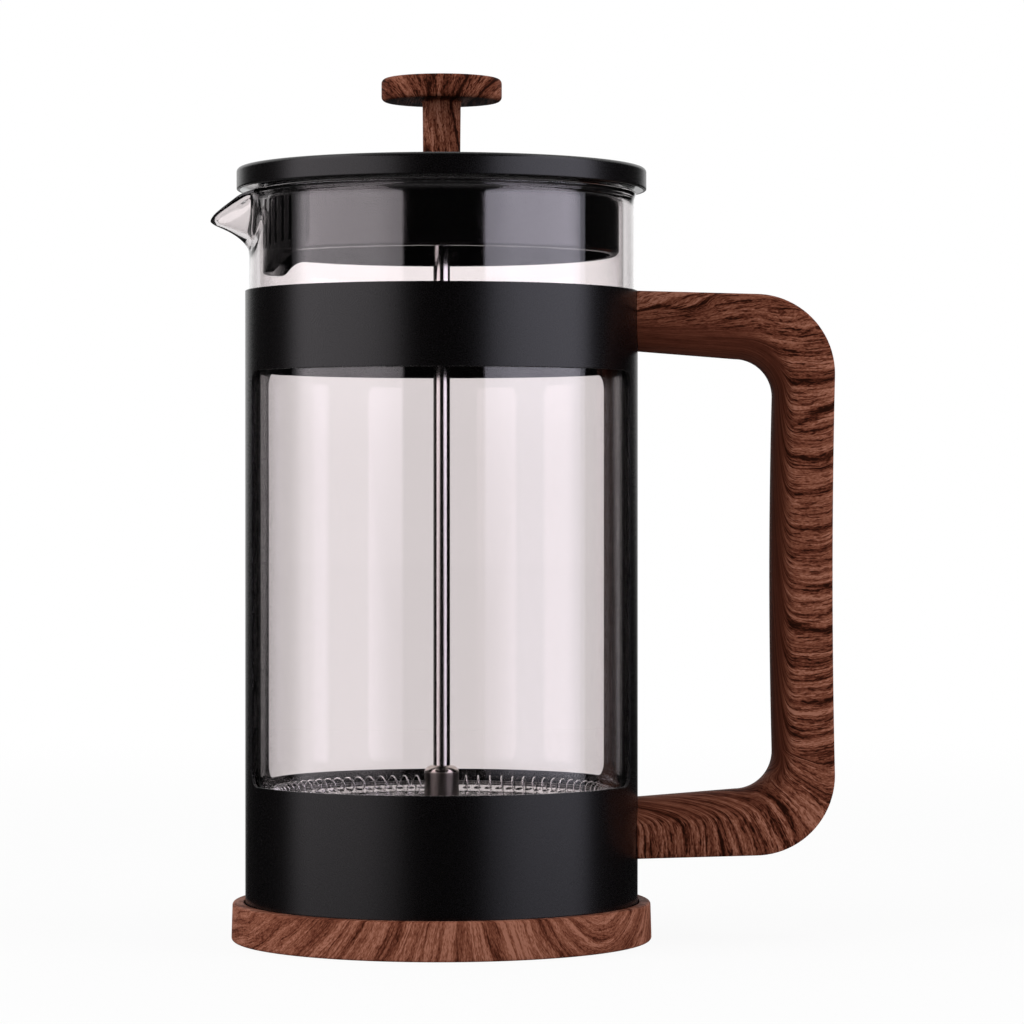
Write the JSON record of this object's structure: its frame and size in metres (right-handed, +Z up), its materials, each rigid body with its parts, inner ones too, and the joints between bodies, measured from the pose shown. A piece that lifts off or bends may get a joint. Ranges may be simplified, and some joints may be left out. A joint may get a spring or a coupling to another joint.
{
  "type": "french press",
  "caption": "Upright glass coffee press in a windowed black sleeve on a round wood-look coaster, with a bowed side handle, a turning flat lid and a rod plunger with a spring-edged filter.",
  "frame": {"origin": "middle of the coaster's underside, on the beaker's axis", "axes": "+Z up along the plunger rod, +X towards the handle, -X towards the spout"},
  "size_m": [0.1567, 0.1054, 0.2157],
  "materials": {
    "wood_print": "satin, printed with a brown wood grain",
    "black_steel": "satin black coating",
    "clear_glass": "clear polished",
    "black_plastic": "semi-gloss moulded",
    "polished_steel": "polished stainless",
    "bush_steel": "turned stainless",
    "spring_steel": "drawn bright wire",
    "steel_mesh": "fine woven wire",
    "screw_steel": "zinc plated",
    "silicone": "matt",
    "brass": "turned"
  },
  "bodies": {
    "stand": {"base_coaster": "wood_print", "frame_sleeve": "black_steel", "base_screws": "screw_steel", "beaker_cushion": "silicone", "handle": "wood_print", "handle_screws": "screw_steel", "handle_inserts": "brass"},
    "beaker": {"glass_beaker": "clear_glass"},
    "bush": {"rod_bush": "bush_steel", "bush_clip": "screw_steel"},
    "lid": {"lid_cover": "black_steel", "lid_plug": "black_plastic"},
    "plunger": {"plunger_knob": "wood_print", "knob_insert": "brass", "plunger_rod": "polished_steel", "rod_collar": "polished_steel", "spiral_plate": "polished_steel", "filter_coil": "spring_steel", "mesh_screen": "steel_mesh", "cross_plate": "polished_steel", "filter_nut": "screw_steel"}
  },
  "joints": [
    {"name": "beaker_lift", "type": "slide", "parent": "stand", "child": "beaker", "axis": [0, 0, 1], "range_m": [0, 0.165]},
    {"name": "lid_lift", "type": "slide", "parent": "beaker", "child": "bush", "axis": [0, 0, 1], "range_m": [0, 0.165]},
    {"name": "lid_turn", "type": "hinge", "parent": "bush", "child": "lid", "pos_m": [0, 0, 0.19], "axis": [0, 0, 1], "continuous": true},
    {"name": "plunger_press", "type": "slide", "parent": "bush", "child": "plunger", "axis": [0, 0, 1], "range_m": [0, 0.128]}
  ]
}
